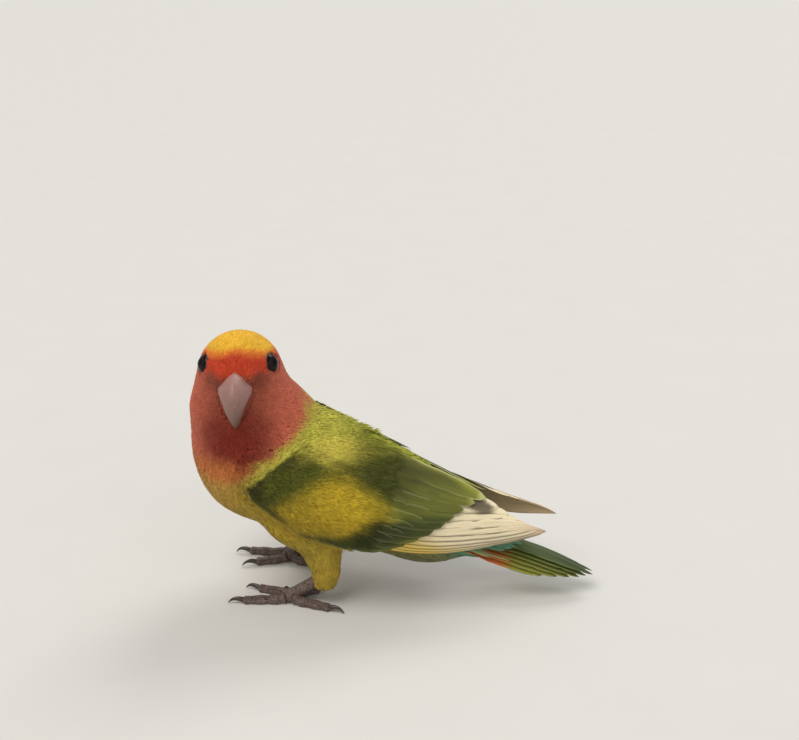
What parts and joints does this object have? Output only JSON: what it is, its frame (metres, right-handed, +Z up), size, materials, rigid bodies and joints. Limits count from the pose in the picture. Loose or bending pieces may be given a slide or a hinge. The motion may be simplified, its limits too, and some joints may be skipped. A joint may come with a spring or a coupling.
{
  "type": "peach-faced lovebird",
  "caption": "Life-size still model of a small parrot standing on both feet, its head turned to its left and its wings folded.",
  "frame": {"origin": "middle of the bird's bounding box, at the floor that its toes stand on", "axes": "+Z up, +Y from the breast back to the tip of the tail, +X to the bird's left"},
  "size_m": [0.0586, 0.1384, 0.0927],
  "materials": {
    "face_feathers": "velvety rose and orange feathers",
    "body_feathers": "soft yellow and green feathers",
    "wing_feathers": "olive and leaf green feathers with yellow patches",
    "flight_feathers": "smooth cream vanes with thin dark edges",
    "tail_feathers": "green vanes with orange and turquoise patches",
    "bill": "pinkish grey horn, satin",
    "cere": "pale bare skin",
    "eyes": "wet black",
    "lids": "bare whitish skin",
    "foot_scales": "grey brown scales",
    "claws": "dark horn, satin"
  },
  "bodies": {
    "root": {"rump": "body_feathers", "torso": "body_feathers", "neck": "face_feathers", "head": "face_feathers", "upper_bill": "bill", "lower_bill": "bill", "cere": "cere", "eye_left": "eyes", "lids_left": "lids", "eye_right": "eyes", "lids_right": "lids", "tail": "tail_feathers", "wing_arm_left": "wing_feathers", "wing_hand_left": "flight_feathers", "thigh_left": "body_feathers", "shank_left": "foot_scales", "toe_inner_front_left": "foot_scales", "claw_inner_front_left": "claws", "toe_outer_front_left": "foot_scales", "claw_outer_front_left": "claws", "toe_inner_back_left": "foot_scales", "claw_inner_back_left": "claws", "toe_outer_back_left": "foot_scales", "claw_outer_back_left": "claws", "wing_arm_right": "wing_feathers", "wing_hand_right": "flight_feathers", "thigh_right": "body_feathers", "shank_right": "foot_scales", "toe_inner_front_right": "foot_scales", "claw_inner_front_right": "claws", "toe_outer_front_right": "foot_scales", "claw_outer_front_right": "claws", "toe_inner_back_right": "foot_scales", "claw_inner_back_right": "claws", "toe_outer_back_right": "foot_scales", "claw_outer_back_right": "claws"}
  },
  "joints": []
}
